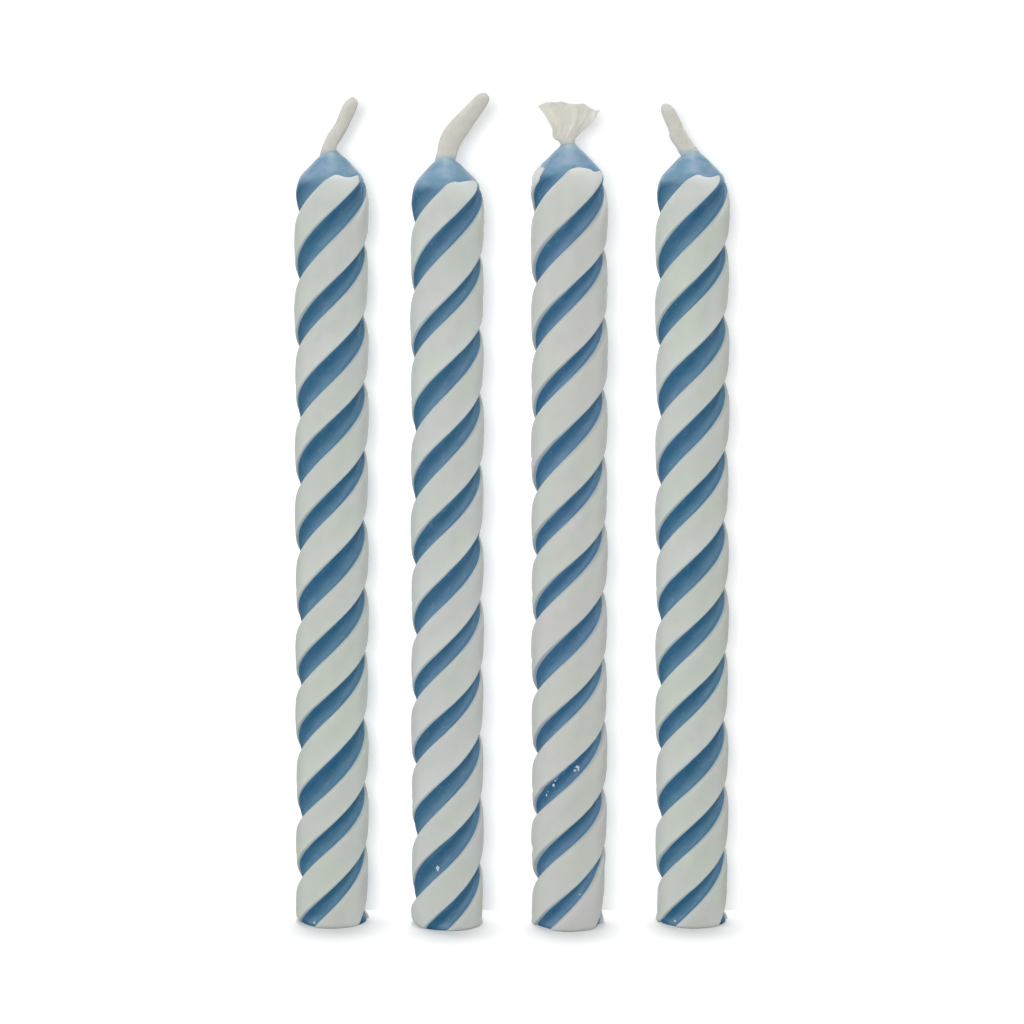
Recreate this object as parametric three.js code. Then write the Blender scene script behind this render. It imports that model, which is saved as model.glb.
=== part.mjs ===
// A row of four spiral birthday candles standing on their feet, in millimetres, +Z up the wicks.
// Each candle is a blue wax core with a three-start right-hand twist, three white wax bands
// seated on the core between its grooves, and a cotton wick that fills the bore from foot to tip.
import * as THREE from 'three';

// Section of the wax body, square to the candle. It is a ratchet of three lobes: each band is thick
// at its upper edge, thins to its lower edge, and the blue then falls back to the next thick edge.
const DEEP_SEAT_RADIUS = 2.25;     // core under a band's thick upper edge
const PROUD_SEAT_RADIUS = 2.58;    // core under a band's thin lower edge
const GROOVE_RADIUS = 2.32;        // core at the deepest line of a blue groove
const GROOVE_DEEPEST = 0.7;        // where that line lies, as a share of the groove from its upper side
const BACK_RADIUS = 2.6;           // how tightly a band's back is rounded
const CREST_PLACE = 0.42;          // where its crest lies, as a share of the band from its upper edge
const THICK_EDGE_SPAN = 7;         // degrees over which a band's upper edge rises from the core
const THIN_EDGE_SPAN = 3;          // degrees over which its lower edge falls to the core
const BAND_COUNT = 3;

// Row
const BODY_HEIGHT = 60;            // wax of one candle, before its own difference
const ROW_STEP = 9.33;             // between neighbours along the row, before their own drift

// Twist
const TWIST_LEAD = 15.71;          // height of one full turn, rising anticlockwise from above
const TWIST_PER_STEP = 27;         // degrees between two rings of the mesh

// Pared tip
const TIP_LENGTH = 3.1;
const TIP_LIP = 0.22;              // wax wall round the wick at the very top
const TIP_FULLNESS = 1.5;          // 1 swells like an ogive, higher is more hollow near the wick
const TIP_RINGS = 4;
const BAND_FEATHER = 0.1;          // band thickness where the paring ends it

// Wick
const WICK_RADIUS = 0.6;           // in the bore, and the unit of the paths and widths below
const WICK_SIDES = 8;
const WICK_RINGS = 7;              // rings over the free length
const WICK_END_ROUNDING = 0.45;    // length over which a plain wick's end rounds off
const WICK_END_BLUNTNESS = 0.3;    // how full the very end stays, 0 for a point

// The candles, left to right. drift is how far each stands from its even place along the row, depth
// from the row's middle, plus to the back, and taller how far its wax rises over the body height.
// turn places the first groove in degrees. Each groove has its own shift and span in degrees, and
// each band its rise at the crest over the proud seat, because hand-laid bands aren't even.
// A wick's path is [sideways, above the wax], with half its width across the row and through it,
// all in wick radii.
const CANDLES = [
  {
    drift: 0,
    depth: 0.45,
    taller: 0.1,
    turn: 106.7,
    rises: [0.3, 0.23, 0.28],
    grooves: [{ shift: 1, span: 48 }, { shift: -3, span: 41 }, { shift: 3, span: 52 }],
    wick: {
      path: [[0, 0], [-0.05, 1.4], [0.95, 3.05], [1.77, 4.58], [2.6, 6.9]],
      across: [1, 0.97, 0.83, 0.9, 0.83],
      through: [1, 0.97, 0.85, 0.9, 0.83],
      frayed: false,
    },
  },
  {
    drift: -0.33,
    depth: -0.35,
    taller: -0.35,
    turn: 128.6,
    rises: [0.27, 0.22, 0.23],
    grooves: [{ shift: 0, span: 43 }, { shift: -2, span: 39 }, { shift: 3, span: 49 }],
    wick: {
      path: [[0, 0], [0.2, 1.6], [1.12, 3.67], [2.6, 5.5], [4.85, 8.2]],
      across: [1, 1.3, 1.2, 0.97, 0.8],
      through: [1, 1.1, 1.08, 0.95, 0.78],
      frayed: false,
    },
  },
  {
    drift: -0.22,
    depth: -0.35,
    taller: 0.6,
    turn: 107.8,
    rises: [0.37, 0.35, 0.4],
    grooves: [{ shift: 2.5, span: 45 }, { shift: -1.3, span: 37 }, { shift: -1.6, span: 33 }],
    wick: {
      path: [[0, 0], [-0.3, 0.83], [-0.2, 1.8], [0.1, 3.5], [0.1, 5.15]],
      across: [1, 1.55, 2.55, 3.45, 4],
      through: [1, 0.9, 0.75, 0.62, 0.5],
      frayed: true,
    },
  },
  {
    drift: 0,
    depth: 0.45,
    taller: 0.1,
    turn: 98.7,
    rises: [0.3, 0.23, 0.28],
    grooves: [{ shift: 1, span: 48 }, { shift: -3, span: 41 }, { shift: 3, span: 52 }],
    wick: {
      path: [[0, 0], [-0.8, 1.15], [-1.8, 2.4], [-2.43, 3.85], [-3.3, 5.83]],
      across: [1, 1, 1, 0.88, 0.83],
      through: [1, 1, 0.97, 0.88, 0.83],
      frayed: false,
    },
  },
];

const waxBlue = () => new THREE.MeshStandardMaterial({ color: 0x3c6e96, roughness: 0.5, metalness: 0 });
const waxWhite = () => new THREE.MeshStandardMaterial({ color: 0xd2d5cf, roughness: 0.6, metalness: 0 });
const cotton = () => new THREE.MeshStandardMaterial({ color: 0xcdccb9, roughness: 0.95, metalness: 0 });

const radians = THREE.MathUtils.degToRad;

// Three-dimensional point from an angle in degrees, a radius and a height
function polar(angle, radius, height) {
  return new THREE.Vector3(radius * Math.cos(radians(angle)), radius * Math.sin(radians(angle)), height);
}

// Walls through rings of the same number of points, split along each quad's shorter diagonal,
// so that two pieces that share a twisted face share its facets too
function addWalls(triangles, rings, facingIn = false) {
  for (let level = 1; level < rings.length; level += 1) {
    const low = rings[level - 1];
    const high = rings[level];
    for (let i = 0; i < low.length; i += 1) {
      const j = (i + 1) % low.length;
      const rising = low[i].distanceTo(high[j]) < low[j].distanceTo(high[i]);
      const pair = rising
        ? [[low[i], low[j], high[j]], [low[i], high[j], high[i]]]
        : [[low[i], low[j], high[i]], [low[j], high[j], high[i]]];
      pair.forEach((triangle) => triangles.push(facingIn ? triangle.reverse() : triangle));
    }
  }
}

// Level face over a ring, round any holes in it, facing up or down
function addFace(triangles, ring, holes, facingUp) {
  const flat = (points) => points.map((point) => new THREE.Vector2(point.x, point.y));
  const points = [...ring, ...holes.flat()];
  for (const corners of THREE.ShapeUtils.triangulateShape(flat(ring), holes.map(flat))) {
    const triangle = corners.map((corner) => points[corner]);
    const upward = THREE.ShapeUtils.area(flat(triangle)) > 0;
    triangles.push(upward === facingUp ? triangle : triangle.reverse());
  }
}

function solidFrom(triangles) {
  const geometry = new THREE.BufferGeometry().setFromPoints(triangles.flat());
  geometry.computeVertexNormals();
  return geometry;
}

// Upright solid between level first and last rings, with an optional bore
function loft(rings, bore = null) {
  const triangles = [];
  const holes = bore ? [bore] : [];
  addWalls(triangles, rings);
  holes.forEach((hole) => addWalls(triangles, hole, true));
  addFace(triangles, rings[0], holes.map((hole) => hole[0]), false);
  addFace(triangles, rings.at(-1), holes.map((hole) => hole.at(-1)), true);
  return solidFrom(triangles);
}

const bodyHeight = (candle) => BODY_HEIGHT + candle.taller;
const crestRadius = (candle, index) => PROUD_SEAT_RADIUS + candle.rises[index];
const tallestCrest = (candle) => PROUD_SEAT_RADIUS + Math.max(...candle.rises);

// Radius of the pared tip at a height on a candle, which below the tip is the tallest crest's
function paredRadius(candle, height) {
  const start = WICK_RADIUS + TIP_LIP;
  const share = Math.min((bodyHeight(candle) - height) / TIP_LENGTH, 1);
  const swell = Math.sin((share * Math.PI) / 2) ** TIP_FULLNESS;
  return start + (tallestCrest(candle) - start) * swell;
}

// Height at which the paring has cut the bands down to a feather edge on their deepest seat
function bandEndHeight(candle) {
  const start = WICK_RADIUS + TIP_LIP;
  const swell = (DEEP_SEAT_RADIUS + BAND_FEATHER - start) / (tallestCrest(candle) - start);
  return bodyHeight(candle) - TIP_LENGTH * (2 / Math.PI) * Math.asin(swell ** (1 / TIP_FULLNESS));
}

// Rounded back of a band: a circle's arc, seen from the candle's axis at an angle from its crest
function backRadius(angle, crest) {
  const offset = crest - BACK_RADIUS;
  const sideways = offset * Math.sin(radians(angle));
  return offset * Math.cos(radians(angle)) + Math.sqrt(BACK_RADIUS ** 2 - sideways ** 2);
}

// Heights of the mesh rings: even steps up the body, then the tip's own
function ringHeights(candle) {
  const shoulder = bodyHeight(candle) - TIP_LENGTH;
  const bandEnd = bandEndHeight(candle);
  const bodySteps = Math.ceil((shoulder / TWIST_LEAD) * (360 / TWIST_PER_STEP));
  const body = Array.from({ length: bodySteps }, (_, i) => (shoulder * i) / bodySteps);
  const pared = [shoulder, (shoulder + bandEnd) / 2, bandEnd];
  const nose = Array.from({ length: TIP_RINGS }, (_, i) => (
    bandEnd + ((bodyHeight(candle) - bandEnd) * (i + 1)) / TIP_RINGS
  ));
  return { banded: [...body, ...pared], nose };
}

// First and last angle of the band that follows a groove, from its thick edge to its thin one
function bandEdges(candle, index) {
  const pitch = 360 / BAND_COUNT;
  const before = candle.grooves[index];
  const after = candle.grooves[(index + 1) % BAND_COUNT];
  return {
    first: pitch * index + before.shift + before.span / 2,
    last: pitch * (index + 1) + after.shift - after.span / 2,
  };
}

// The core's points under a band, which are the band's underside too
function seatPoints(candle, index) {
  const { first, last } = bandEdges(candle, index);
  return [0, 0.5, 1].map((share) => ({
    angle: THREE.MathUtils.lerp(first, last, share),
    radius: THREE.MathUtils.lerp(DEEP_SEAT_RADIUS, PROUD_SEAT_RADIUS, share),
    seat: true,
  }));
}

// The core's outline: the deepest line of a groove, then the seat of the band after it, all round
function coreOutline(candle) {
  return candle.grooves.flatMap((groove, index) => [
    {
      angle: (360 / BAND_COUNT) * index + groove.shift + (GROOVE_DEEPEST - 0.5) * groove.span,
      radius: GROOVE_RADIUS,
      seat: false,
    },
    ...seatPoints(candle, index),
  ]);
}

// A band's outline: its rounded back forwards, between its edges, then the core's seat backwards
function bandOutline(candle, index) {
  const { first, last } = bandEdges(candle, index);
  const crestAngle = THREE.MathUtils.lerp(first, last, CREST_PLACE);
  const back = [0, 1 / 3, 2 / 3, 1].map((share) => {
    const angle = THREE.MathUtils.lerp(first + THICK_EDGE_SPAN, last - THIN_EDGE_SPAN, share);
    return { angle, radius: backRadius(angle - crestAngle, crestRadius(candle, index)), seat: false };
  });
  const [thick, middle, thin] = seatPoints(candle, index);
  return [thick, ...back, thin, middle];
}

// One ring of twisted points, held in by the pared tip. Where a band lies on the core, the seat is
// held in by the band's feather edge as well.
function twistedRing(candle, height, points, feather) {
  const twist = candle.turn + (360 * height) / TWIST_LEAD;
  const limit = paredRadius(candle, height);
  return points.map(({ angle, radius, seat }) => (
    polar(angle + twist, Math.min(radius, seat ? limit - feather : limit), height)
  ));
}

function wickRing(centre, side, across, through) {
  const facing = new THREE.Vector3(0, 1, 0);
  return Array.from({ length: WICK_SIDES }, (_, i) => {
    const angle = (2 * Math.PI * i) / WICK_SIDES;
    return centre.clone()
      .addScaledVector(side, across * Math.cos(angle))
      .addScaledVector(facing, through * Math.sin(angle));
  });
}

// The straight length of wick in the bore, which is also the bore's own wall
function boreRings(candle) {
  const side = new THREE.Vector3(1, 0, 0);
  return [0, bodyHeight(candle)].map((height) => (
    wickRing(new THREE.Vector3(0, 0, height), side, WICK_RADIUS, WICK_RADIUS)
  ));
}

// Value between a wick's listed widths, at a share of its free length
function between(values, share) {
  const place = share * (values.length - 1);
  const index = Math.min(Math.floor(place), values.length - 2);
  return THREE.MathUtils.lerp(values[index], values[index + 1], place - index);
}

function coreGeometry(candle) {
  const { banded, nose } = ringHeights(candle);
  const outline = coreOutline(candle);
  const rings = [
    ...banded.map((height) => twistedRing(candle, height, outline, BAND_FEATHER)),
    ...nose.map((height) => twistedRing(candle, height, outline, 0)),
  ];
  return loft(rings, boreRings(candle));
}

function bandGeometry(candle, index) {
  const outline = bandOutline(candle, index);
  const { banded } = ringHeights(candle);
  return loft(banded.map((height) => twistedRing(candle, height, outline, BAND_FEATHER)));
}

// The wick: straight in the bore, then along its own bend to a rounded or a frayed end
function wickGeometry(candle) {
  const { path, across, through, frayed } = candle.wick;
  const bend = new THREE.CatmullRomCurve3(
    path.map(([sideways, above]) => (
      new THREE.Vector3(sideways * WICK_RADIUS, 0, bodyHeight(candle) + above * WICK_RADIUS)
    )),
  );
  const facing = new THREE.Vector3(0, 1, 0);
  const length = bend.getLength();
  const rings = boreRings(candle);
  for (let i = 1; i <= WICK_RINGS; i += 1) {
    const share = i / WICK_RINGS;
    const side = facing.clone().cross(bend.getTangent(share)).normalize();
    const left = (1 - share) * length;
    const taken = Math.max(0, 1 - left / WICK_END_ROUNDING - WICK_END_BLUNTNESS);
    const size = WICK_RADIUS * (frayed ? 1 : Math.sqrt(1 - taken ** 2));
    rings.push(wickRing(
      bend.getPoint(share), side, between(across, share) * size, between(through, share) * size,
    ));
  }
  const triangles = [];
  const end = rings.at(-1);
  const middle = end.reduce((sum, point) => sum.add(point), new THREE.Vector3()).divideScalar(end.length);
  addWalls(triangles, rings);
  addFace(triangles, rings[0], [], false);
  end.forEach((point, i) => triangles.push([point, end[(i + 1) % end.length], middle]));
  return solidFrom(triangles);
}

function addPiece(parent, name, geometry, material) {
  const piece = new THREE.Mesh(geometry, material);
  piece.name = name;
  parent.add(piece);
}

function candleAssembly(candle, number) {
  const assembly = new THREE.Group();
  const evenPlace = (number - (CANDLES.length + 1) / 2) * ROW_STEP;
  assembly.position.set(evenPlace + candle.drift, candle.depth, 0);
  addPiece(assembly, `candle_${number}_blue_core`, coreGeometry(candle), waxBlue());
  for (let index = 0; index < BAND_COUNT; index += 1) {
    addPiece(assembly, `candle_${number}_white_band_${index + 1}`, bandGeometry(candle, index), waxWhite());
  }
  addPiece(assembly, `candle_${number}_wick`, wickGeometry(candle), cotton());
  return assembly;
}

const candleSet = new THREE.Group();
CANDLES.forEach((candle, index) => candleSet.add(candleAssembly(candle, index + 1)));

export default candleSet;
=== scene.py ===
import math

import bmesh
import bpy
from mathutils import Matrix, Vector, noise


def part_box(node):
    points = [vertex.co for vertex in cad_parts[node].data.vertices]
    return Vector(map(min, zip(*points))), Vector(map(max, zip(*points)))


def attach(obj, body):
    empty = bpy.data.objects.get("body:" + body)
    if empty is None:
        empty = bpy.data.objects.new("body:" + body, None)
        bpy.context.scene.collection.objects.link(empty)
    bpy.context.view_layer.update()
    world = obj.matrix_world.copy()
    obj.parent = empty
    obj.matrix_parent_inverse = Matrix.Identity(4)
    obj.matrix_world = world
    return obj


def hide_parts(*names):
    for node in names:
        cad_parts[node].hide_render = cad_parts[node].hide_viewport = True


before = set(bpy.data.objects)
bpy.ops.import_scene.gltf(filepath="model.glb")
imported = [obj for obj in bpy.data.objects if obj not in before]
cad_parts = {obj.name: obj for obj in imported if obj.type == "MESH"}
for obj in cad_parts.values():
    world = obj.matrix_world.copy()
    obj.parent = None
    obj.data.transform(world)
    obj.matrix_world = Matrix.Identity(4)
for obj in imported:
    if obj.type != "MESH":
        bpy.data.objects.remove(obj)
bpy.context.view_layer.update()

# Lengths are in millimetres and angles in degrees until a piece is finished.
MM = 0.001
BAND_COUNT = 3
FRONT_BAND = 2
TWIST_LEAD = 15.71
SWEEP_STEP = 0.7
FINE_CUTS = 3
LEVEL_GAP = 0.1
GROOVE_CUTS = 24
WALL_CUTS = 3
CORE_SEAT_CUTS = 14
BAND_SEAT_CUTS = 8

# Section of the wax. The groove's radii run from the thin edge of one band down to the thick edge of
# the next.
GROOVE_RADII = (2.6, 2.55, 2.43, 2.31, 2.24, 2.22)
DEEP_SEAT_RADIUS = 2.22
PROUD_SEAT_RADIUS = 2.56
CREST_PLACE = 0.42
THICK_EDGE_DROP = 0.1
THIN_EDGE_DROP = 0.09
WALL_SPAN = 2.4
WALL_FOOT = 0.04
STEP_SPAN = 1.2
STEP_FOOT = 0.06
BLUE_REACH = 2.52
RIDGE_SPAN = 1.2
SUNK = 0.02
FULL_RADIUS = 2.8
CORE_UNEVEN = 0.014
BAND_UNEVEN = 0.02

# Foot: how far its rim is rounded in and over what height, and how the grooves fill out there
FOOT_ROUNDING = 0.1
FOOT_RIM = 0.3
FOOT_FILL_RADIUS = 2.6
FOOT_FILL_SHARE = 0.8

# Ends of the bands: the height over which they follow the paring, how far their rim is rounded in
# and over what height, and how far the blue wax and the seat lie under the pared face there
END_SPAN = 4
END_ROUNDING = 0.05
END_RIM = 0.14
BLUE_UNDER_END = 0.06
SEAT_UNDER_END = 0.08

# Pared tip: depth below the top of the wax, and the radius there
PARED = ((-0.35, 0.27), (0, 0.6), (0.35, 0.93), (0.85, 1.42), (1.32, 1.88), (1.72, 2.26), (2.1, 2.48),
         (2.5, 2.62), (3.1, 2.75), (3.8, 2.88), (4.6, 2.96))
PARED_SPAN = 4.6
UNPARED_RADIUS = 3.5
PARED_BLEND = 0.03
BARE_RADIUS = 2.74
TIP_RADIUS = 0.27
TIP_SPAN = 0.5
TIP_BEND = 3
TIP_FILL = 0.12

# View: distance, height, tilt down in degrees, and the picture's own measures in pixels
VIEW_BACK = 0.2
VIEW_HEIGHT = 0.0535
VIEW_TILT = 7
VIEW_NEAR = 0.01
FILM_WIDTH = 36
PICTURE_WIDTH = 1024
FOCAL_PIXELS = 2597
MIDDLE_ROW = 557.4

# Studio: a floor, and a card just behind the candles
FLOOR_REACH = 900
CARD_REACH = 300
CARD_BACK = 3.45
CARD_LIFT = 0.02
LIGHT_AROUND = 0.12
CARD_PALE = (0.97, 0.97, 0.97, 1)
CARD_GLOW = 0.18
FLOOR_PALE = (0.95, 0.95, 0.95, 1)
FLOOR_GLOW = 0.1
FLOOR_DIM = (0.3, 0.3, 0.3, 1)
# Round softbox in front, a little to the left of the view: watts, width, place, and what it faces
KEY_WATTS = 0.97
KEY_WIDTH = 0.2
KEY_PLACE = (-0.06, -0.4, 0.085)
KEY_AIM = (0, 0, 0.03)
# Far lamps: strength, width in degrees, whether it casts shadows, and where it shines from.
LAMPS = {
    "top": (1.5, 4.5, True, (-0.006, 0.043, 1)),
    "left_fill": (1.25, 50, False, (-0.966, -0.259, 0.1)),
    "right_fill": (1.15, 50, False, (0.966, -0.259, 0.1)),
    "back_fill": (2.2, 60, False, (0, 1, 0.15)),
}

# Colours as they show on a screen, from 0 to 255
BLUE_CLOUD = (66, 98, 142)
# Pale blue of real bloom, also used as painted light on the lower side of the grooves
BLUE_BLOOM_AND_LIGHT = (118, 150, 172)
# Painted shade: darker blue where a groove meets the wall of the next band
BLUE_PAINTED_SHADE_BY_WALL = (58, 102, 130)
BLUE_SPECKLE = (140, 170, 188)
SCRAPED_DEEP = (100, 140, 162)
SCRAPED_PALE = (127, 151, 176)
TIP_RIM = (150, 172, 182)
THIN_EDGE = (92, 126, 146)
THICK_EDGE = (172, 186, 192)
COTTON_CREAM = (204, 203, 192)
COTTON_GREY = (199, 196, 189)
COTTON_FIBRE = (184, 184, 172)
COTTON_IN_WAX = (165, 180, 184)
# Heights of the fine relief of wax and cotton, in metres, and how strongly wax bends light
WAX_RELIEF = 0.00002
COTTON_RELIEF = 0.00003
WAX_IOR = 1.44

# Each candle:
# turn: angle of its first groove
# lean: how far its top leans along the row, per unit of height
# tip: how far its tip stands off the middle along the row
# tint: colour of its white wax
# blues: colour of its blue wax, dark with painted shade under a band's thin edge and paler with bloom and
# painted light on the lower side of a groove
# grooves: shift and span of each groove
# crests: crest radius of each band
# strays and narrows: how its twist strays and its grooves narrow, from foot to top
# ends: where the paring ends each band, from its thick edge to its thin one, as depths below the
# top of the wax
# peak: how far the tip rises round the wick
# fuller: how much fuller the wax is on its left and right side, by height
HIDDEN_END = (1.9, 1.8, 1.85, 1.9, 2.0, 2.1, 2.2, 2.3)
LEFT_END = (1.9, 1.95, 2.05, 2.2, 2.5, 2.9, 3.4, 3.9)
FRONT_END = (2.25, 1.83, 1.85, 1.95, 2.01, 1.93, 1.82, 1.72)
CANDLES = {
    1: dict(
        turn=106.7, lean=0.0072, tip=0.0, tint=(189, 194, 188), blues=((8, 84, 118), (82, 124, 149)),
        grooves=((1, 48), (-3, 41), (3, 52)), crests=(2.88, 2.81, 2.86),
        strays=(-7.0, -9.5, 1.0, 0.1, 1.0, 3.6, 1.0, -0.8, -0.8, 0.1, -2.5, -0.8),
        narrows=(3.5, 8.8, 0, 0, 3.5, 1.75, 1.75, 0, 1.75, 1.75, 1.75, 0),
        ends=(HIDDEN_END, LEFT_END, FRONT_END), peak=0.35,
        fuller=(((0, -0.15), (0.4, 0)), ((0, 0.3), (0.5, 0.05), (1, 0))),
    ),
    2: dict(
        turn=128.6, lean=0.0026, tip=-0.12, tint=(189, 193, 189), blues=((20, 86, 118), (86, 125, 151)),
        grooves=((0, 43), (-2, 39), (3, 49)), crests=(2.85, 2.8, 2.81),
        strays=(1.0, 3.6, -1.7, 1.0, 0.1, 0.1, 3.6, -1.7, -7.0, -5.2, -7.8, -4.8),
        narrows=(0, -7, 5.2, 1.75, 7, 1.75, -3.5, 0, 3.5, 7, 0, 0),
        ends=(HIDDEN_END, (1.8, 1.9, 2.1, 2.45, 2.95, 3.45, 3.95, 4.45),
              (2.1, 1.9, 1.93, 1.89, 1.81, 1.74, 1.75, 1.85)), peak=0.35,
        fuller=(((0, -0.25), (0.5, 0), (1.6, 0.15), (2.5, 0.05), (3.5, 0)), ((0, 0.15), (0.5, 0))),
    ),
    3: dict(
        turn=107.8, lean=-0.0023, tip=-0.06, tint=(192, 194, 190), blues=((20, 86, 121), (90, 127, 155)),
        grooves=((2.5, 45), (-1.3, 37), (-1.6, 33)), crests=(2.95, 2.93, 2.98),
        strays=(-13, -18, -1, 0, 1.8, 2.8, 5.3, 1, 1.8, 0.1, 1.8, 0.2),
        narrows=(1.75, 10.5, -3.5, 3.5, 1.75, -1.75, 1.75, 1.75, 0, 0, 0, -4),
        ends=(HIDDEN_END, (1.7, 1.6, 1.55, 1.55, 1.6, 1.7, 2.0, 3.0),
              (1.95, 1.74, 1.79, 1.86, 1.93, 1.97, 2.0, 2.1)), peak=0.5,
        fuller=(((0, 0.1), (0.5, 0), (56.2, 0), (56.9, 0.12), (57.4, 0.18), (57.9, 0.24), (58.4, 0.28),
                 (58.9, 0.26), (59.4, 0.16), (60.2, 0)),
                ((0, -0.15), (0.5, -0.22), (1.8, -0.2), (3, -0.1), (4.5, -0.15), (5.5, 0))),
    ),
    4: dict(
        turn=98.7, lean=-0.0072, tip=0.0, tint=(189, 194, 188), blues=((8, 84, 118), (82, 124, 149)),
        grooves=((1, 48), (-3, 41), (3, 52)), crests=(2.88, 2.81, 2.86),
        strays=(-3.4, -5.2, 1.0, 2.7, 1.0, 2.7, 3.6, -1.7, -1.7, 0.1, 0.1, -0.8),
        narrows=(3.5, 8.8, 3.5, 1.75, 3.5, 3.5, 1.75, 1.75, 1.75, 1.75, -1.75, 0),
        ends=(HIDDEN_END, LEFT_END, FRONT_END), peak=0.35,
        fuller=(((0, 0.05), (0.5, -0.15), (2, -0.15), (3.5, 0)), ((0, 0.3), (0.5, 0.05), (1, 0))),
    ),
}


def lerp(low, high, share):
    return low + (high - low) * share


def ease(low, high, value):
    share = min(max((value - low) / (high - low), 0), 1)
    return share * share * (3 - 2 * share)


def curve_through(values, share):
    """Smooth curve through evenly spaced values, at a share from 0 to 1 along them."""
    place = min(max(share, 0), 1) * (len(values) - 1)
    i = min(int(place), len(values) - 2)
    part = place - i
    before = values[max(i - 1, 0)]
    low = values[i]
    high = values[i + 1]
    after = values[min(i + 2, len(values) - 1)]
    start = (high - before) / 2
    end = (after - low) / 2
    return (
        low + start * part + (3 * (high - low) - 2 * start - end) * part ** 2
        + (2 * (low - high) + start + end) * part ** 3
    )


def along_line(points, place):
    """Value on a line of (place, value) points."""
    for (low, start), (high, end) in zip(points, points[1:]):
        if place <= high:
            return lerp(start, end, min(max((place - low) / (high - low), 0), 1))
    return points[-1][1]


def softer_lesser(first, second, blend):
    """The lesser of two lengths, rounded over where they meet."""
    return -blend * math.log(math.exp(-first / blend) + math.exp(-second / blend))


def wobble(x, y, seed):
    """Even random wave between about -1 and 1."""
    return noise.noise(Vector((x, y, seed * 7.31)))


class Candle:
    """Where one candle stands, how tall its wax is, and its cross-section."""

    def __init__(self, number):
        low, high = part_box(f"candle_{number}_blue_core")
        self.number = number
        self.body = f"candle_{number}"
        self.place = (round((low.x + high.x) / 2 / MM, 2), round((low.y + high.y) / 2 / MM, 2))
        self.height = round(high.z / MM, 2)
        for name, value in CANDLES[number].items():
            setattr(self, name, value)

    def edges(self, index):
        """First and last angle of a band, from its thick edge to its thin one."""
        shift, span = self.grooves[index]
        next_shift, next_span = self.grooves[(index + 1) % BAND_COUNT]
        first = 120 * index + shift + span / 2
        last = 120 * (index + 1) + next_shift - next_span / 2
        return first, last

    def pared(self, depth):
        """Radius that the paring leaves at a depth below the top of the wax."""
        return along_line(PARED, depth) if depth < PARED_SPAN else UNPARED_RADIUS

    def turned(self, angle, height):
        """Angle from above, in radians, of a place in the section."""
        stray = curve_through(self.strays, height / self.height)
        return math.radians(self.turn + angle + stray + 360 * height / TWIST_LEAD)

    def axis(self, height):
        """Where the middle of the wax lies along the row at a height."""
        off = self.tip * ease(TIP_BEND, 0, self.height - height)
        return self.place[0] + off + self.lean * (height - self.height / 2)

    def spot(self, angle, radius, height):
        """Point on the twisted wax, in metres."""
        turned = self.turned(angle, height)
        off = radius * math.cos(turned)
        fuller = along_line(self.fuller[off > 0], height)
        x = self.axis(height) + off + fuller * off * abs(off) / FULL_RADIUS ** 2
        y = self.place[1] + radius * math.sin(turned)
        return Vector((x, y, height)) * MM


def seat_radius(share):
    """Seat of a band, at a share of the way from its thick edge to its thin one."""
    return lerp(DEEP_SEAT_RADIUS, PROUD_SEAT_RADIUS, share)


def wall_reach(crest):
    """Angle past a band's thick edge to which the blue wax climbs its wall."""
    edge = crest - THICK_EDGE_DROP
    left = (edge - BLUE_REACH) / (edge - DEEP_SEAT_RADIUS - WALL_FOOT)
    return -WALL_SPAN * math.log(left)


def back_radius(angle, span, crest):
    """Back of a band at an angle from its thick edge: steep there, full, with a small last step."""
    share = angle / span
    rising = max(1 - share / CREST_PLACE, 0) ** 2
    falling = max((share - CREST_PLACE) / (1 - CREST_PLACE), 0) ** 2
    full = crest - THICK_EDGE_DROP * rising - THIN_EDGE_DROP * falling
    wall = (crest - THICK_EDGE_DROP - DEEP_SEAT_RADIUS - WALL_FOOT) * math.exp(-angle / WALL_SPAN)
    step = (crest - THIN_EDGE_DROP - PROUD_SEAT_RADIUS - STEP_FOOT) * math.exp((angle - span) / STEP_SPAN)
    return full - wall - step


def sweep(points, height, values):
    """Solid from a closed outline of (angle, radius) points that climbs with the twist."""
    mesh = bmesh.new()
    layers = [mesh.verts.layers.float.new(name) for name in values]
    ring = []
    for i, (angle, radius) in enumerate(points):
        turned = math.radians(angle)
        vertex = mesh.verts.new((radius * math.cos(turned), radius * math.sin(turned), 0))
        for layer, name in zip(layers, values):
            vertex[layer] = values[name][i]
        ring.append(vertex)
    start = mesh.faces.new(ring)
    steps = round(height / SWEEP_STEP)
    bmesh.ops.spin(
        mesh, geom=[start], axis=(0, 0, 1), cent=(0, 0, 0), dvec=(0, 0, height / steps),
        angle=math.radians(360 * height / TWIST_LEAD), steps=steps,
    )
    climbing = [
        edge for edge in mesh.edges if abs(edge.verts[0].co.z - edge.verts[1].co.z) > LEVEL_GAP
    ]
    bmesh.ops.subdivide_edges(mesh, edges=climbing, cuts=FINE_CUTS, use_grid_fill=True)
    return mesh


def finish_piece(mesh, name, body, slot, material, *nodes):
    """Smooth object from a mesh, on its candle's body and in place of the nodes given."""
    bmesh.ops.recalc_face_normals(mesh, faces=mesh.faces)
    data = bpy.data.meshes.new(name)
    mesh.to_mesh(data)
    mesh.free()
    data.polygons.foreach_set("use_smooth", [True] * len(data.polygons))
    piece = bpy.data.objects.new(name, data)
    bpy.context.scene.collection.objects.link(piece)
    data.materials.append(material)
    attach(piece, body)
    if nodes:
        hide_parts(*nodes)


def band_end(candle, index, angle):
    """Height at which the paring ends a band, at an angle in the section."""
    first, last = candle.edges(index)
    depth = curve_through(candle.ends[index], (angle - first) / (last - first))
    return candle.height - depth


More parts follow.
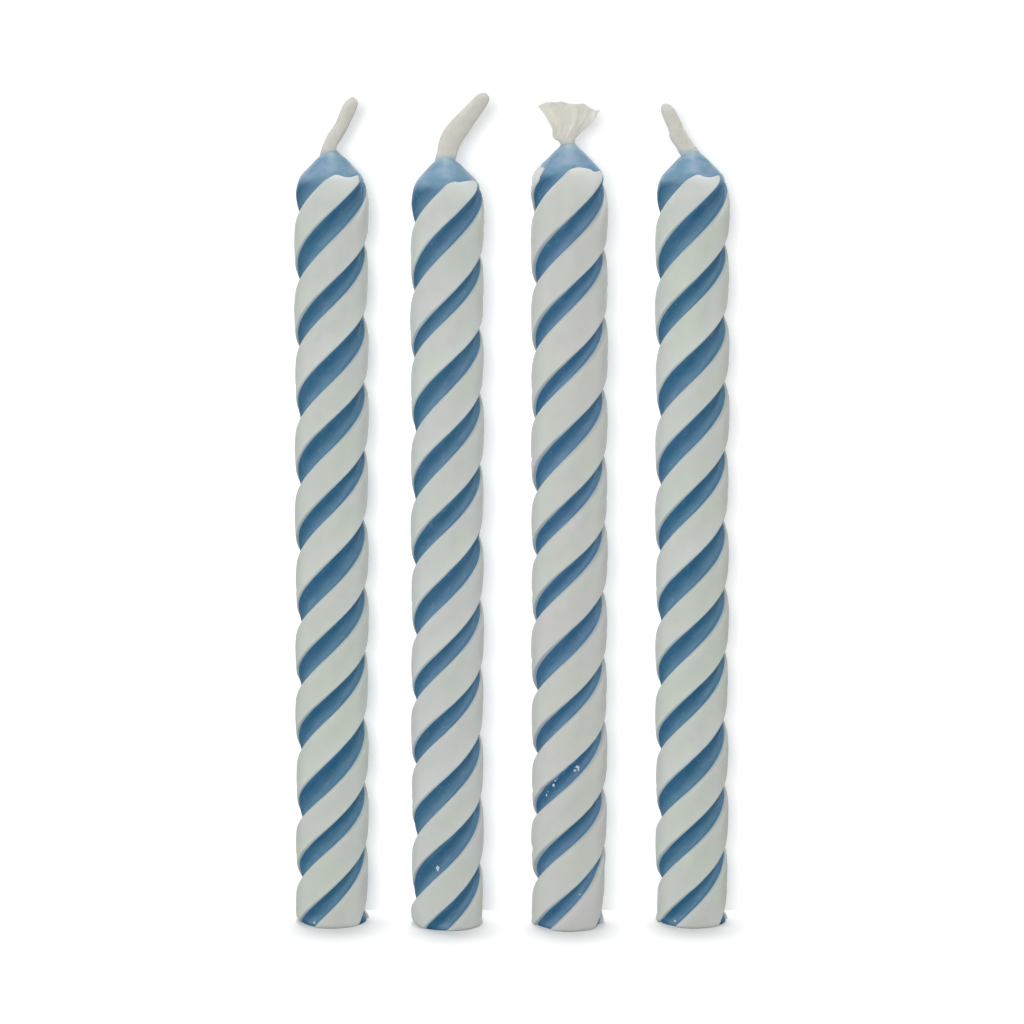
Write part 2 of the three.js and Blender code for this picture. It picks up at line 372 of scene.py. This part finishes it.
# How far the front band's thin edge reaches over the blue near its top, by depth below the wax's top
TOP_REACH = {
    1: ((1.8, 9), (2.2, 5), (2.8, 1), (3.4, 0)),
    2: ((1.8, 10), (2.3, 5), (3.0, 1), (3.6, 0)),
    3: ((2.0, 14), (2.3, 8), (2.7, 4), (3.4, 0)),
    4: ((1.8, 9), (2.2, 5), (2.8, 1), (3.4, 0)),
}


def thin_edge_drift(candle, index, height):
    """How far a band's thin edge wanders over the blue, in degrees, because it was laid by hand."""
    uneven = 1.1 * wobble(height * 0.45, index * 3.0, candle.number)
    uneven += 0.5 * wobble(height * 1.6, index * 5.0, candle.number + 9)
    # The third candle has a torn stretch, and the edge of its front band runs back at the foot.
    if candle.number == 3:
        torn = ease(9, 10.5, height) * ease(14.5, 13, height)
        uneven += 2.2 * torn * wobble(height * 3.2, index * 4.0, 21)
        uneven -= 15 * ease(1.5, 0.3, height) if index == FRONT_BAND else 0
    if index == FRONT_BAND:
        uneven += along_line(TOP_REACH[candle.number], candle.height - height)
    return uneven + curve_through(candle.narrows, height / candle.height)


def core_outline(candle):
    """Angle, radius, share across the groove and the band above it, all round the core."""
    points = []
    for index in range(BAND_COUNT):
        first, last = candle.edges(index)
        before = candle.edges((index - 1) % BAND_COUNT)[1] - (360 if index == 0 else 0)
        for i in range(GROOVE_CUTS):
            share = i / GROOVE_CUTS
            points.append((lerp(before, first, share), curve_through(GROOVE_RADII, share), share, -1))
        crest = candle.crests[index]
        reach = wall_reach(crest)
        for i in range(WALL_CUTS + 1):
            angle = reach * i / WALL_CUTS
            points.append((first + angle, back_radius(angle, last - first, crest), 1, -1))
        start = (reach + RIDGE_SPAN) / (last - first)
        for i in range(CORE_SEAT_CUTS):
            share = lerp(start, 1, i / CORE_SEAT_CUTS)
            points.append((lerp(first, last, share), seat_radius(share), 1 - share, index))
    return points


def blue_core(candle, material):
    points = core_outline(candle)
    mesh = sweep(
        [(angle, radius) for angle, radius, _, _ in points], candle.height,
        {
            "section": [angle for angle, _, _, _ in points],
            "reach": [radius for _, radius, _, _ in points],
            "across": [share for _, _, share, _ in points],
            "under": [index for _, _, _, index in points],
            "depth": [0 for _ in points],
        },
    )
    section, reach, under, depth = (
        mesh.verts.layers.float[name] for name in ("section", "reach", "under", "depth")
    )
    for vertex in mesh.verts:
        height = vertex.co.z
        below = candle.height - height
        angle = vertex[section]
        radius = vertex[reach]
        index = round(vertex[under])
        limit = candle.pared(below)
        if index < 0:
            radius += TIP_FILL * ease(6, 3, below)
            radius = lerp(radius, FOOT_FILL_RADIUS, FOOT_FILL_SHARE * ease(1.0, 0, height))
        else:
            bare = ease(-0.08, 0.12, height - band_end(candle, index, angle))
            radius = lerp(radius, BARE_RADIUS, bare)
            limit -= BLUE_UNDER_END * (1 - bare)
        radius = softer_lesser(radius, limit, PARED_BLEND)
        radius += CORE_UNEVEN * wobble(height * 0.9, angle * 0.05, candle.number)
        radius -= FOOT_ROUNDING * ease(FOOT_RIM, 0, height) ** 2
        rise = candle.peak * ease(TIP_SPAN, 0, below)
        radius = lerp(radius, TIP_RADIUS, ease(TIP_SPAN, 0, below))
        vertex[depth] = below - rise
        vertex.co = candle.spot(angle, radius, height + rise)
    finish_piece(
        mesh, f"candle_{candle.number}_blue_wax", candle.body, "blue_wax", material,
        f"candle_{candle.number}_blue_core",
    )


BAND_PLACES = (0, 0.6, 1.4, 2.6, 4.2, 6.4, 9, 13, 18, 24, 30, 36, 42)
BAND_TAIL = (20, 14, 9.5, 6.5, 4.2, 2.6, 1.5, 0.7)


def band_outline(candle, index):
    first, last = candle.edges(index)
    span = last - first
    crest = candle.crests[index]
    reach = wall_reach(crest)
    places = [reach + place for place in BAND_PLACES if reach + place < span - 22]
    places += [span - tail for tail in BAND_TAIL]
    back = [(first + place, back_radius(place, span, crest), place / span, 0) for place in places]
    edge = [(last, PROUD_SEAT_RADIUS + 0.05, 1, 0)]
    start = (reach + RIDGE_SPAN) / span
    seat = []
    for i in range(BAND_SEAT_CUTS + 1):
        share = lerp(1, start, i / BAND_SEAT_CUTS)
        seat.append((lerp(first, last, share), seat_radius(share) - SUNK, share, 1))
    return back + edge + seat


def white_band(candle, index, material):
    points = band_outline(candle, index)
    top = candle.height - sum(candle.ends[index]) / len(candle.ends[index])
    mesh = sweep(
        [(angle, radius) for angle, radius, _, _ in points], top,
        {
            "section": [angle for angle, _, _, _ in points],
            "reach": [radius for _, radius, _, _ in points],
            "across": [share for _, _, share, _ in points],
            "seated": [seated for _, _, _, seated in points],
        },
    )
    section, reach, across, seated = (
        mesh.verts.layers.float[name] for name in ("section", "reach", "across", "seated")
    )
    for vertex in mesh.verts:
        height = vertex.co.z
        angle = vertex[section]
        radius = vertex[reach]
        share = vertex[across]
        end = band_end(candle, index, angle)
        height += (end - top) * ease(top - END_SPAN, top, height)
        limit = candle.pared(candle.height - height)
        if vertex[seated]:
            radius = min(radius, limit - SEAT_UNDER_END)
        else:
            radius += BAND_UNEVEN * wobble(height * 0.5, angle * 0.04, candle.number + 3)
            radius = softer_lesser(radius, limit, PARED_BLEND)
            radius -= FOOT_ROUNDING * ease(FOOT_RIM, 0, height) ** 2
            radius -= END_ROUNDING * ease(END_RIM, 0, end - height)
            # One foot has the thick edge of a band rubbed down.
            if candle.number == 3 and index == 0:
                radius = lerp(radius, 2.4, ease(1.5, 0.8, height) * ease(0.35, 0.15, share))
        angle += thin_edge_drift(candle, index, height) * share ** 3
        vertex.co = candle.spot(angle, radius, height)
    finish_piece(
        mesh, f"candle_{candle.number}_white_wax_{index + 1}", candle.body, "white_wax", material,
        f"candle_{candle.number}_white_band_{index + 1}",
    )


# Crumbs of white wax that stick in the blue grooves: place along the row from the middle of the
# wax, height, and half size along the row and upwards
CRUMBS = {
    1: ((-1.25, 0.35, 0.1, 0.07),),
    2: ((-0.69, 4.95, 0.12, 0.2),),
    3: ((0.58, 12.97, 0.15, 0.11), (0.38, 12.7, 0.1, 0.08), (0.66, 12.75, 0.07, 0.09),
        (-1.27, 11.49, 0.09, 0.14), (-1.1, 11.86, 0.11, 0.1), (-1.0, 12.05, 0.06, 0.07),
        (-1.81, 10.6, 0.07, 0.1), (-1.7, 10.9, 0.05, 0.05), (0.78, 2.87, 0.07, 0.05)),
    4: ((-1.45, 0.45, 0.1, 0.07),),
}
CRUMB_RADIUS = 2.5
CRUMB_DEPTH = 0.13


def wax_crumbs(candle, material):
    mesh = bmesh.new()
    for i, (x, height, wide, tall) in enumerate(CRUMBS[candle.number]):
        crumb = bmesh.ops.create_icosphere(mesh, subdivisions=3, radius=1)["verts"]
        y = candle.place[1] - math.sqrt(CRUMB_RADIUS ** 2 - x ** 2)
        for vertex in crumb:
            rough = 1 + 0.55 * wobble(vertex.co.x * 1.7, vertex.co.z * 1.7, candle.number * 5 + i)
            grown = Vector((vertex.co.x * wide, vertex.co.y * CRUMB_DEPTH, vertex.co.z * tall)) * rough
            vertex.co = (grown + Vector((candle.axis(height) + x, y, height))) * MM
    finish_piece(
        mesh, f"candle_{candle.number}_wax_crumbs", candle.body, "white_wax", material,
    )


# Plain wicks: left and right outline, as height and place along the row from the candle's middle,
# and the top of the wick
WICKS = {
    1: dict(
        left=((59.4, -0.76), (59.86, -0.68), (60.17, -0.57), (60.47, -0.47), (60.77, -0.37), (61.07, -0.24),
              (61.37, -0.06), (61.67, 0.15), (61.97, 0.37), (62.28, 0.56), (62.58, 0.69), (62.88, 0.81),
              (63.18, 0.94), (63.48, 1.07), (63.78, 1.26), (63.93, 1.39), (64.08, 1.59), (64.15, 1.69)),
        right=((59.4, 0.56), (59.9, 0.56), (60.2, 0.58), (60.5, 0.64), (60.8, 0.83), (61.1, 1.02),
               (61.4, 1.22), (61.7, 1.4), (62.0, 1.56), (62.3, 1.68), (62.6, 1.82), (62.9, 1.97),
               (63.2, 2.12), (63.5, 2.22), (63.8, 2.28), (64.0, 2.16), (64.1, 2.05), (64.15, 1.97)),
        top=(64.2, 1.85),
    ),
    2: dict(
        left=((59.1, -0.9), (59.46, -0.87), (59.76, -0.77), (60.06, -0.69), (60.36, -0.64), (60.67, -0.58),
              (60.97, -0.5), (61.27, -0.4), (61.57, -0.25), (61.87, -0.05), (62.17, 0.19), (62.46, 0.47),
              (62.76, 0.76), (63.06, 1.06), (63.36, 1.37), (63.66, 1.67), (63.96, 1.98), (64.19, 2.22),
              (64.34, 2.4), (64.41, 2.5)),
        right=((59.1, 0.64), (59.3, 0.68), (59.7, 0.78), (60.0, 0.87), (60.4, 0.98), (60.8, 1.22),
               (61.1, 1.42), (61.5, 1.7), (61.9, 1.95), (62.2, 2.15), (62.5, 2.38), (62.8, 2.6),
               (63.1, 2.81), (63.4, 3.02), (63.7, 3.2), (63.96, 3.3), (64.15, 3.27), (64.3, 3.17),
               (64.41, 3.08)),
        top=(64.5, 2.85),
    ),
    4: dict(
        left=((59.4, -0.9), (59.72, -1.08), (60.09, -1.3), (60.39, -1.45), (60.69, -1.68), (61.0, -1.9),
              (61.3, -2.03), (61.45, -1.98), (61.6, -2.02), (61.9, -2.13), (62.2, -2.28), (62.5, -2.41),
              (62.8, -2.54), (63.1, -2.64), (63.4, -2.65), (63.55, -2.6), (63.63, -2.55)),
        right=((59.4, 0.4), (60.1, 0.3), (60.24, 0.19), (60.39, 0.04), (60.54, -0.12), (60.69, -0.19),
               (60.84, -0.27), (61.0, -0.35), (61.15, -0.5), (61.3, -0.58), (61.45, -0.66), (61.6, -0.74),
               (61.75, -0.89), (61.9, -0.97), (62.2, -1.03), (62.5, -1.2), (62.8, -1.36), (63.1, -1.51),
               (63.25, -1.59), (63.4, -1.74), (63.55, -1.89), (63.63, -2.0)),
        top=(63.72, -2.25),
    ),
}
WICK_RADIUS = 0.56
WICK_TOP_DEPTH = 0.58
STRANDS = 3
STRAND_TURN = 2.4
STRAND_RELIEF = 0.06
# The frayed wick: its left and right outline by height above the wax, and its torn top edge by the
# share of its width, from left to right.
FRAYED = dict(
    root=-0.17,
    left=((-0.2, -0.56), (0, -0.57), (0.16, -0.72), (0.28, -0.98), (0.5, -1.14), (0.76, -1.13),
          (1.03, -1.14), (1.3, -1.27), (1.51, -1.41), (1.73, -1.5), (2.05, -1.69), (2.27, -1.86),
          (2.59, -2.12), (2.73, -2.28)),
    right=((-0.2, 0.55), (0.17, 0.56), (0.38, 0.67), (0.6, 0.84), (0.87, 1.11), (1.14, 1.38), (1.35, 1.63),
           (1.57, 1.89), (1.89, 2.17), (2.24, 2.35), (2.43, 2.53)),
    top=((0, 2.74), (0.056, 2.87), (0.121, 3.02), (0.177, 3.07), (0.244, 3.02), (0.311, 3.04),
         (0.378, 3.1), (0.457, 3.0), (0.511, 2.94), (0.568, 2.89), (0.647, 2.9), (0.714, 2.94),
         (0.76, 2.87), (0.814, 2.65), (0.87, 2.49), (0.937, 2.41), (1, 2.44)),
)
FRAYED_RISE = 0.12
FAN_HALF_DEPTH = 0.06
PLAIN_SIDES = 40
FRAYED_SIDES = 128
WICK_LEVELS = 72
BURIED_SHARE = 0.1
BURIED_BELOW = 0.9


def plain_tube(sides):
    """Closed upright tube of radius 1 and height 1, with a layer for the height over the wax."""
    mesh = bmesh.new()
    mesh.verts.layers.float.new("above")
    line = [mesh.verts.new((1, 0, i / WICK_LEVELS)) for i in range(WICK_LEVELS + 1)]
    edges = [mesh.edges.new(pair) for pair in zip(line, line[1:])]
    bmesh.ops.spin(
        mesh, geom=line + edges, axis=(0, 0, 1), cent=(0, 0, 0), angle=math.tau, steps=sides,
        use_merge=True,
    )
    rims = [edge for edge in mesh.edges if edge.is_boundary]
    bmesh.ops.holes_fill(mesh, edges=rims, sides=sides)
    return mesh


def wick_in_bore(side, share, top, x, half):
    """Place in the straight length of wick inside the wax, up to its top, where it is off the middle."""
    rise = share / BURIED_SHARE * top
    off = ease(top - 8, top, rise)
    wide = lerp(WICK_RADIUS, half, ease(top - 2, top, rise))
    return Vector((lerp(0, x, off) + wide * math.cos(side), WICK_RADIUS * math.sin(side), rise))


def bent_wick(wick):
    """Place of a point on a plain wick from its side angle and its share of the height."""
    bottom = wick["left"][0][0]
    base_left = wick["left"][0][1]
    base_right = wick["right"][0][1]
    top, tip = wick["top"]
    left = wick["left"] + ((top, tip),)
    right = wick["right"] + ((top, tip),)

    def place(side, share):
        if share < BURIED_SHARE:
            return wick_in_bore(
                side, share, bottom, (base_left + base_right) / 2, (base_right - base_left) / 2
            )
        free = (share - BURIED_SHARE) / (1 - BURIED_SHARE)
        height = lerp(bottom, top, 1 - (1 - free) ** 1.6)
        low = along_line(left, height)
        high = along_line(right, height)
        half = (high - low) / 2
        laid = math.cos(STRANDS * side + STRAND_TURN * height) * ease(bottom, bottom + 1.5, height)
        deep = min(half, lerp(WICK_RADIUS, WICK_TOP_DEPTH, free)) * (1 + STRAND_RELIEF * laid)
        return Vector(((low + high) / 2 + half * math.cos(side), deep * math.sin(side), height))

    return place


def frayed_wick(candle):
    """Place of a point on the frayed wick, which opens from a round neck into a pleated fan."""

    def place(side, share):
        if share < BURIED_SHARE:
            return wick_in_bore(side, share, candle.height - BURIED_BELOW, 0, WICK_RADIUS)
        column = (1 + math.cos(side)) / 2
        free = (share - BURIED_SHARE) / (1 - BURIED_SHARE)
        above = lerp(-BURIED_BELOW, along_line(FRAYED["top"], column), free)
        left = along_line(FRAYED["left"], above)
        right = along_line(FRAYED["right"], above)
        opened = ease(0.1, 1.8, above)
        half = lerp(WICK_RADIUS, FAN_HALF_DEPTH, opened)
        pleat = 0.16 * math.sin(column * 15 + 0.8) + 0.09 * math.sin(column * 34 + 2 + above * 0.5)
        pleat += 0.05 * wobble(column * 30, above * 0.8, 4)
        y = half * math.sin(side) + pleat * opened * ease(0, 0.12, column) * ease(1, 0.88, column)
        x = FRAYED["root"] + candle.lean * (candle.height / 2 + above) + lerp(left, right, column)
        return Vector((x * ease(-BURIED_BELOW - 0.01, 0, above), y, candle.height + above + FRAYED_RISE))

    return place


def cotton_wick(candle, material):
    frayed = candle.number not in WICKS
    mesh = plain_tube(FRAYED_SIDES if frayed else PLAIN_SIDES)
    above = mesh.verts.layers.float["above"]
    place = frayed_wick(candle) if frayed else bent_wick(WICKS[candle.number])
    for vertex in mesh.verts:
        side = math.atan2(vertex.co.y, vertex.co.x)
        point = place(side, vertex.co.z)
        vertex[above] = point.z - candle.height
        point += Vector((*candle.place, 0))
        vertex.co = point * MM
    finish_piece(
        mesh, f"candle_{candle.number}_cotton_wick", candle.body, "wick_cotton", material,
        f"candle_{candle.number}_wick",
    )


def linear(red, green, blue):
    """Colour as it shows on a screen, from 0 to 255, as the scene's own numbers."""
    def one(value):
        share = value / 255
        return share / 12.92 if share < 0.04045 else ((share + 0.055) / 1.055) ** 2.4
    return (one(red), one(green), one(blue), 1)


class Shade:
    """One socket of a material's nodes. Sums on it add Math nodes, and node() adds any other."""

    def __init__(self, tree, socket=None):
        self.tree = tree
        self.socket = socket

    def node(self, kind, settings=None, inputs=None, output=0):
        made = self.tree.nodes.new(kind)
        for setting, value in (settings or {}).items():
            setattr(made, setting, value)
        for name, value in (inputs or {}).items():
            if isinstance(value, Shade):
                self.tree.links.new(value.socket, made.inputs[name])
            else:
                made.inputs[name].default_value = value
        return Shade(self.tree, made.outputs[output])

    def maths(self, operation, first, second):
        return self.node("ShaderNodeMath", {"operation": operation}, {0: first, 1: second})

    def __add__(self, other):
        return self.maths("ADD", self, other)

    __radd__ = __add__

    def __sub__(self, other):
        return self.maths("SUBTRACT", self, other)

    def __rsub__(self, other):
        return self.maths("SUBTRACT", other, self)

    def __mul__(self, other):
        return self.maths("MULTIPLY", self, other)

    __rmul__ = __mul__

    def eased(self, low, high):
        """0 below the low value, 1 over the high one, and smooth between them."""
        return self.node(
            "ShaderNodeMapRange", {"interpolation_type": "SMOOTHSTEP"},
            {"Value": self, "From Min": low, "From Max": high},
        )

    def mixed(self, low, high):
        """Colour between two, with this value as the share of the second."""
        return self.node("ShaderNodeMix", {"data_type": "RGBA"}, {0: self, 6: low, 7: high}, 2)

    def named(self, attribute):
        return self.node("ShaderNodeAttribute", {"attribute_name": attribute}, None, "Fac")

    def grain(self, vector, scale, detail=2.0):
        return self.node(
            "ShaderNodeTexNoise", None, {"Vector": vector, "Scale": scale, "Detail": detail}, 0
        )


def new_material(name):
    material = bpy.data.materials.new(name)
    material.use_nodes = True
    tree = material.node_tree
    surface = tree.nodes["Principled BSDF"]
    return material, Shade(tree), surface


def place_of(start):
    return start.node("ShaderNodeTexCoord", None, None, "Object")


def relief(start, height, distance):
    return start.node(
        "ShaderNodeBump", None, {"Strength": 1.0, "Distance": distance, "Height": height}, 0
    )


def feed(start, surface, sockets):
    for name, value in sockets.items():
        if isinstance(value, Shade):
            start.tree.links.new(value.socket, surface.inputs[name])
        else:
            surface.inputs[name].default_value = value


def blue_wax_material(name, deep, bloomed_and_lit_blue):
    material, start, surface = new_material(name)
    across = start.named("across")
    depth = start.named("depth")
    where = place_of(start)
    streaks = start.grain(
        start.node("ShaderNodeCombineXYZ", None, {"X": across * 1.3, "Y": depth * 0.32, "Z": 0.0}), 2.4, 3.0
    )
    cloud = start.grain(where, 900.0, 3.0)
    speckle = start.grain(where, 3200.0, 2.0)
    # Across each groove the blue runs from painted shade under the upper band's thin edge to a paler blue.
    # That paler blue is bloom plus painted light on the lower side, which faces up.
    painted_light_across = (across + streaks * 0.4 - 0.2).eased(0.1, 0.95)
    colour = painted_light_across.mixed(linear(*deep), linear(*bloomed_and_lit_blue))
    colour = (cloud.eased(0.4, 0.75) * 0.3).mixed(colour, linear(*BLUE_CLOUD))
    # Pale patches of bloom, held to the lower side of each groove, where they also stand in for painted
    # light
    bloom_and_light = (streaks * 0.6 + cloud * 0.4).eased(0.52, 0.72) * across.eased(0.25, 0.8)
    colour = (bloom_and_light * 0.4).mixed(colour, linear(*BLUE_BLOOM_AND_LIGHT))
    # Painted shade: the blue darkens a little where the groove meets and climbs the wall of the next band
    colour = (across.eased(0.88, 1.0) * 0.12).mixed(colour, linear(*BLUE_PAINTED_SHADE_BY_WALL))
    tip = (depth + cloud * 0.9 - 0.45).eased(2.75, 1.9)
    scraped = cloud.eased(0.38, 0.66).mixed(linear(*SCRAPED_DEEP), linear(*SCRAPED_PALE))
    colour = tip.mixed(colour, scraped)
    colour = depth.eased(0.75, -0.1).mixed(colour, linear(*TIP_RIM))
    colour = (speckle.eased(0.6, 0.8) * 0.18).mixed(colour, linear(*BLUE_SPECKLE))
    bump = start.grain(where, 2600.0, 4.0) * 0.5 + cloud * 0.5
    feed(start, surface, {
        "Base Color": colour,
        "Roughness": cloud * 0.2 + 0.42,
        "Normal": relief(start, bump, WAX_RELIEF),
        "Subsurface Weight": 0.15,
        "Subsurface Radius": (0.6, 0.8, 1.0),
        "Subsurface Scale": 0.0004,
        "IOR": WAX_IOR,
    })
    return material


def white_wax_material(name, tint):
    material, start, surface = new_material(name)
    across = start.named("across")
    where = place_of(start)
    red, green, blue_part = tint
    broad = start.grain(where, 240.0, 2.0)
    cloud = start.grain(where, 1000.0, 3.0)
    colour = broad.eased(0.35, 0.65).mixed(
        linear(red - 1, green + 1, blue_part - 2), linear(red + 2, green - 1, blue_part + 2)
    )
    colour = (cloud.eased(0.4, 0.75) * 0.5).mixed(colour, linear(red - 7, green - 4, blue_part - 3))
    colour = (across.eased(0.92, 1.03) * 0.6).mixed(colour, linear(*THIN_EDGE))
    colour = (across.eased(0.06, 0.0) * 0.5).mixed(colour, linear(*THICK_EDGE))
    bump = start.grain(where, 2200.0, 4.0) * 0.4 + cloud * 0.6
    feed(start, surface, {
        "Base Color": colour,
        "Roughness": cloud * 0.15 + 0.5,
        "Normal": relief(start, bump, WAX_RELIEF),
        "Subsurface Weight": 0.6,
        "Subsurface Radius": (1.0, 0.97, 0.9),
        "Subsurface Scale": 0.0011,
        "IOR": WAX_IOR,
    })
    return material


def cotton_material():
    material, start, surface = new_material("waxed cotton")
    above = start.named("above")
    where = place_of(start)
    cloud = start.grain(where, 1300.0, 3.0)
    fibres = start.grain(
        start.node("ShaderNodeMapping", None, {"Vector": where, "Scale": (1.0, 1.0, 0.12)}), 6500.0, 2.0
    )
    colour = cloud.eased(0.3, 0.75).mixed(linear(*COTTON_CREAM), linear(*COTTON_GREY))
    colour = (fibres.eased(0.45, 0.8) * 0.35).mixed(colour, linear(*COTTON_FIBRE))
    colour = (above + cloud * 0.5 - 0.25).eased(0.3, -0.15).mixed(colour, linear(*COTTON_IN_WAX))
    feed(start, surface, {
        "Base Color": colour,
        "Roughness": 0.75,
        "Normal": relief(start, fibres * 0.7 + cloud * 0.3, COTTON_RELIEF),
        "Subsurface Weight": 0.3,
        "Subsurface Radius": (1.0, 0.97, 0.85),
        "Subsurface Scale": 0.0005,
    })
    return material


def stage_material(name, pale, dim, glow, one_sided):
    """Matt surface that is pale and glows a little for the camera, and is dim for other rays."""
    material, start, surface = new_material(name)
    path = start.node("ShaderNodeLightPath", None, None, "Is Camera Ray")
    feed(start, surface, {
        "Base Color": path.mixed(dim, pale),
        "Roughness": 1.0,
        "Specular IOR Level": 0.0,
        "Emission Color": path.mixed((0, 0, 0, 1), (1, 1, 1, 1)),
        "Emission Strength": glow,
    })
    if one_sided:
        back = start.node("ShaderNodeNewGeometry", None, None, "Backfacing")
        clear = start.node("ShaderNodeBsdfTransparent")
        shown = start.node(
            "ShaderNodeMixShader", None,
            {0: path * (1 - back), 1: clear, 2: Shade(start.tree, surface.outputs[0])},
        )
        output = start.tree.nodes["Material Output"]
        start.tree.links.new(shown.socket, output.inputs["Surface"])
    return material


def stage_sheet(name, corners, material):
    mesh = bmesh.new()
    mesh.faces.new([mesh.verts.new(Vector(corner) * MM) for corner in corners])
    data = bpy.data.meshes.new(name)
    mesh.to_mesh(data)
    mesh.free()
    sheet = bpy.data.objects.new(name, data)
    bpy.context.scene.collection.objects.link(sheet)
    data.materials.append(material)


def make_stage():
    floor = stage_material("pale floor", FLOOR_PALE, FLOOR_DIM, FLOOR_GLOW, False)
    stage_sheet(
        "studio_floor",
        (
            (-FLOOR_REACH, -FLOOR_REACH, 0), (FLOOR_REACH, -FLOOR_REACH, 0),
            (FLOOR_REACH, FLOOR_REACH, 0), (-FLOOR_REACH, FLOOR_REACH, 0),
        ),
        floor,
    )
    card = stage_material("pale card", CARD_PALE, CARD_PALE, CARD_GLOW, True)
    stage_sheet(
        "studio_card",
        (
            (-CARD_REACH, CARD_BACK, CARD_LIFT), (CARD_REACH, CARD_BACK, CARD_LIFT),
            (CARD_REACH, CARD_BACK, CARD_REACH), (-CARD_REACH, CARD_BACK, CARD_REACH),
        ),
        card,
    )
    world = bpy.data.worlds.new("studio")
    bpy.context.scene.world = world
    world.use_nodes = True
    start = Shade(world.node_tree)
    nodes = world.node_tree.nodes
    rays = [
        start.node("ShaderNodeLightPath", None, None, kind)
        for kind in ("Is Camera Ray", "Is Glossy Ray", "Is Transmission Ray")
    ]
    seen = (rays[0] + rays[1] + rays[2]).eased(0.0, 1.0)
    strength = seen * (1.0 - LIGHT_AROUND) + LIGHT_AROUND
    background = nodes["Background"]
    background.inputs["Color"].default_value = (1, 1, 1, 1)
    world.node_tree.links.new(strength.socket, background.inputs["Strength"])


def make_lamps():
    data = bpy.data.lights.new("key", "AREA")
    data.shape = "DISK"
    data.size = KEY_WIDTH
    data.energy = KEY_WATTS
    key = bpy.data.objects.new("key", data)
    key.location = KEY_PLACE
    key.rotation_euler = (Vector(KEY_PLACE) - Vector(KEY_AIM)).to_track_quat("Z", "Y").to_euler()
    key.visible_camera = False
    bpy.context.scene.collection.objects.link(key)
    for name, (strength, width, casts_shadow, source) in LAMPS.items():
        data = bpy.data.lights.new(name, "SUN")
        data.energy = strength
        data.angle = math.radians(width)
        data.use_shadow = casts_shadow
        lamp = bpy.data.objects.new(name, data)
        lamp.rotation_euler = Vector(source).to_track_quat("Z", "Y").to_euler()
        bpy.context.scene.collection.objects.link(lamp)


def make_camera():
    data = bpy.data.cameras.new("camera")
    data.sensor_width = FILM_WIDTH
    data.lens = FOCAL_PIXELS / PICTURE_WIDTH * FILM_WIDTH
    data.shift_y = (MIDDLE_ROW - PICTURE_WIDTH / 2) / PICTURE_WIDTH
    data.clip_start = VIEW_NEAR
    camera = bpy.data.objects.new("camera", data)
    camera.location = (0, -VIEW_BACK, VIEW_HEIGHT)
    camera.rotation_euler = (math.radians(90 - VIEW_TILT), 0, 0)
    bpy.context.scene.collection.objects.link(camera)
    bpy.context.scene.camera = camera


bpy.context.scene.view_settings.view_transform = "Standard"
make_camera()
make_stage()
make_lamps()
cotton = cotton_material()
for number in CANDLES:
    candle = Candle(number)
    blue = blue_wax_material(f"blue candle wax {number}", *candle.blues)
    white = white_wax_material(f"white candle wax {number}", candle.tint)
    blue_core(candle, blue)
    for band in range(BAND_COUNT):
        white_band(candle, band, white)
    wax_crumbs(candle, white)
    cotton_wick(candle, cotton)
